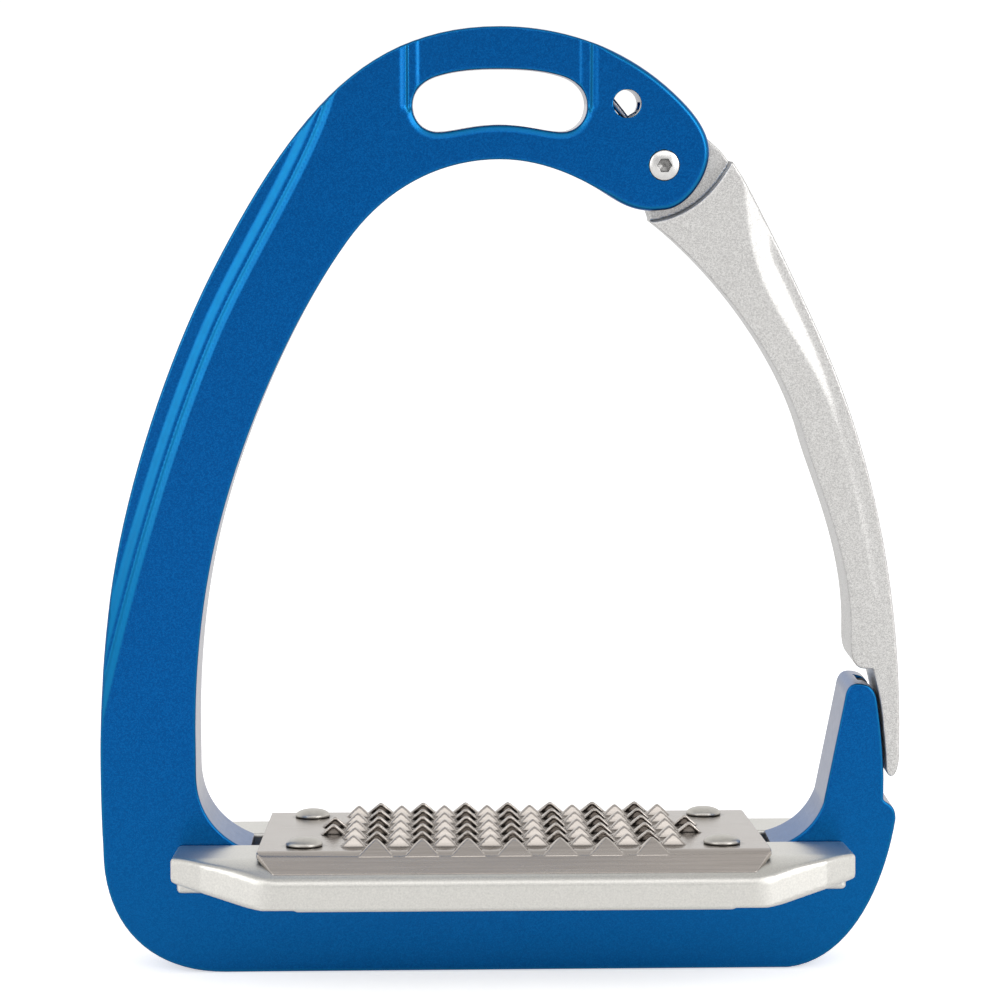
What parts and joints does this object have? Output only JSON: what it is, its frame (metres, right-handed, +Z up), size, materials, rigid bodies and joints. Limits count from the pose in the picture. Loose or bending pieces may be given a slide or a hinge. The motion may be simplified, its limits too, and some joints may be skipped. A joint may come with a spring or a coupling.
{
  "type": "stirrup iron",
  "caption": "Safety stirrup iron: painted cast frame with a hinged release arm at one side, sloping tread with a toothed grip plate, and an eye for the stirrup leather.",
  "frame": {"origin": "centre of the base bar's flat underside, half way through the frame's thickness", "axes": "+Z up, from the underside to the leather eye; +X towards the release arm; +Y from the tread's higher front edge towards its lower rear edge"},
  "size_m": [0.15, 0.0597, 0.1766],
  "materials": {
    "frame_paint": "satin metallic blue lacquer over cast aluminium",
    "arm_paint": "sparkling silver lacquer over cast aluminium",
    "tread_aluminium": "satin silver",
    "grip_stainless": "brushed, formed sheet",
    "bright_steel": "polished stainless",
    "dark_steel": "black oxide",
    "spring_wire": "drawn spring wire",
    "bush_bronze": "sintered bronze",
    "washer_plastic": "smooth acetal",
    "bumper_rubber": "matte elastomer"
  },
  "bodies": {
    "iron": {"frame": "frame_paint", "pivot_barrel": "bright_steel", "pivot_screw": "bright_steel", "front_thrust_washer": "washer_plastic", "rear_thrust_washer": "washer_plastic", "return_spring": "spring_wire", "closing_bumper": "bumper_rubber", "footbed": "tread_aluminium", "footbed_screws": "dark_steel", "footbed_lock_washers": "dark_steel", "grip_plate": "grip_stainless", "grip_rivets": "bright_steel"},
    "arm": {"release_arm": "arm_paint", "pivot_bush": "bush_bronze"}
  },
  "joints": [
    {"name": "arm_release", "type": "hinge", "parent": "iron", "child": "arm", "pos_m": [0.0299, 0, 0.1516], "axis": [0, -1, 0], "range_deg": [0, 60], "stiffness_Nm_per_rad": 0.3, "deforming": ["return_spring"]}
  ]
}
